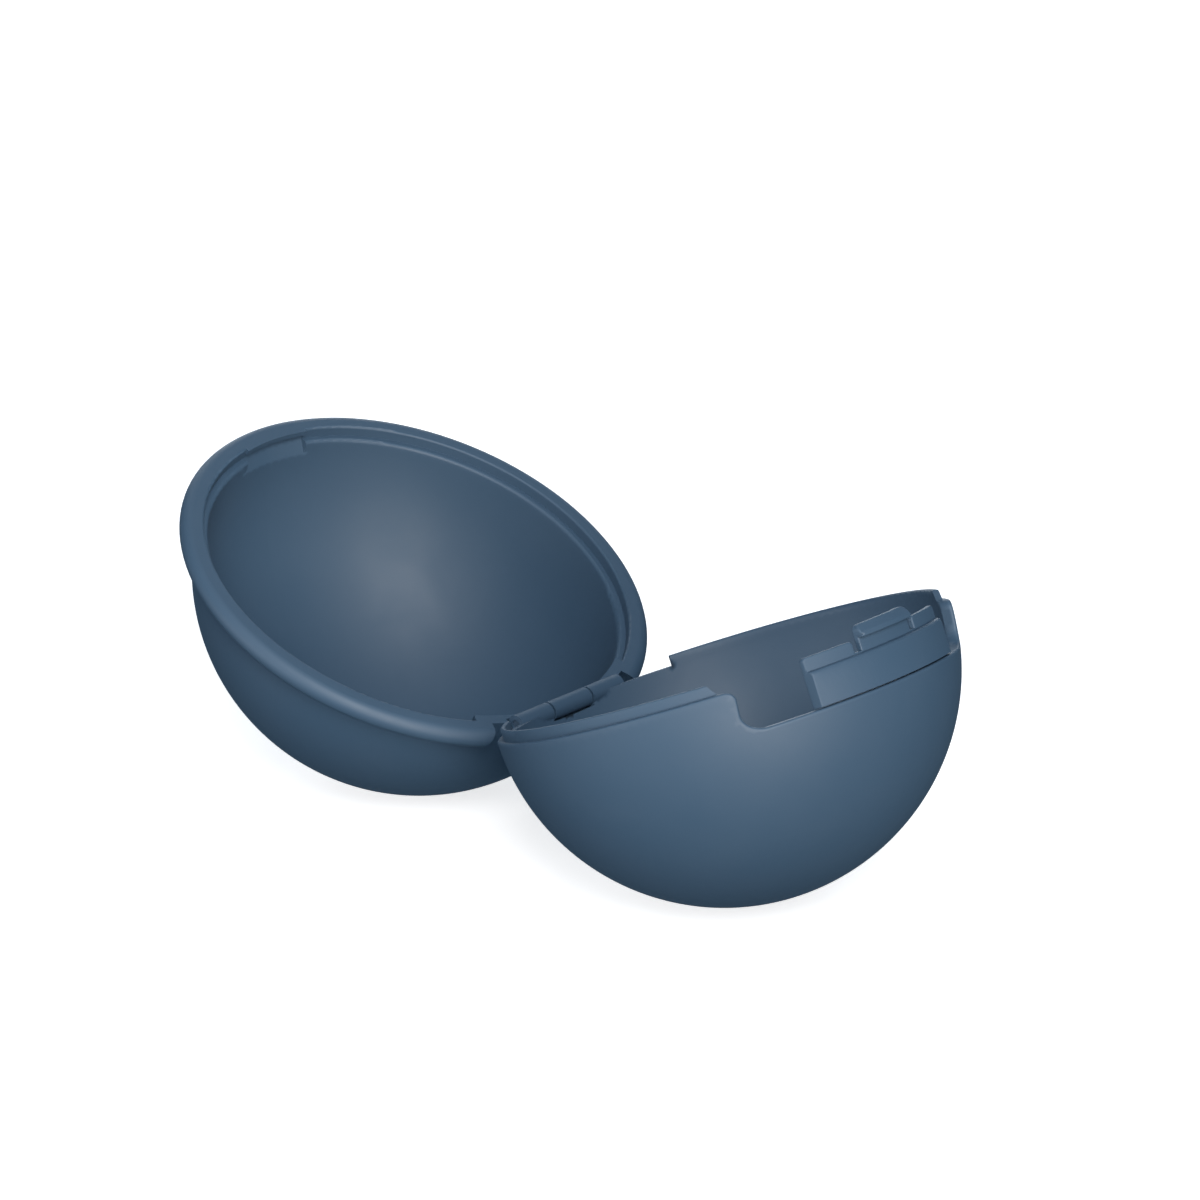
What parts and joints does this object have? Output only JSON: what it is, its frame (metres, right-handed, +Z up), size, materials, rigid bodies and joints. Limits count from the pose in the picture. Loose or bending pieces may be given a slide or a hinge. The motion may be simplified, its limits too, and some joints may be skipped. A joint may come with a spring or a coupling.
{
  "type": "pacifier case",
  "caption": "Ball-shaped pacifier case of two hinged plastic bowls, lying open, with a flanged lid, a springy front latch tab between ring slots, and a pinned back hinge.",
  "frame": {"origin": "on the table, midway between the two bowls, under the middle of the hinge", "axes": "+X from the lid to the base, +Y along the hinge pin, +Z up from the table"},
  "size_m": [0.1056, 0.0604, 0.0412],
  "materials": {
    "shell": "fine matte moulded polypropylene, slate blue",
    "pin": "smooth moulded plastic, slate blue"
  },
  "bodies": {
    "base": {"base_shell": "shell", "hinge_pin": "pin"},
    "lid": {"lid_shell": "shell"},
    "latch": {"latch_tab": "shell"}
  },
  "joints": [
    {"name": "lid_hinge", "type": "hinge", "parent": "base", "child": "lid", "pos_m": [0, 0, 0.01683], "axis": [0, 1, 0], "range_deg": [0, 131.3]},
    {"name": "latch_press", "type": "hinge", "parent": "base", "child": "latch", "pos_m": [0.04902, 0, 0.0333], "axis": [0, -1, 0], "range_deg": [0, 4], "stiffness_Nm_per_rad": 0.35}
  ]
}
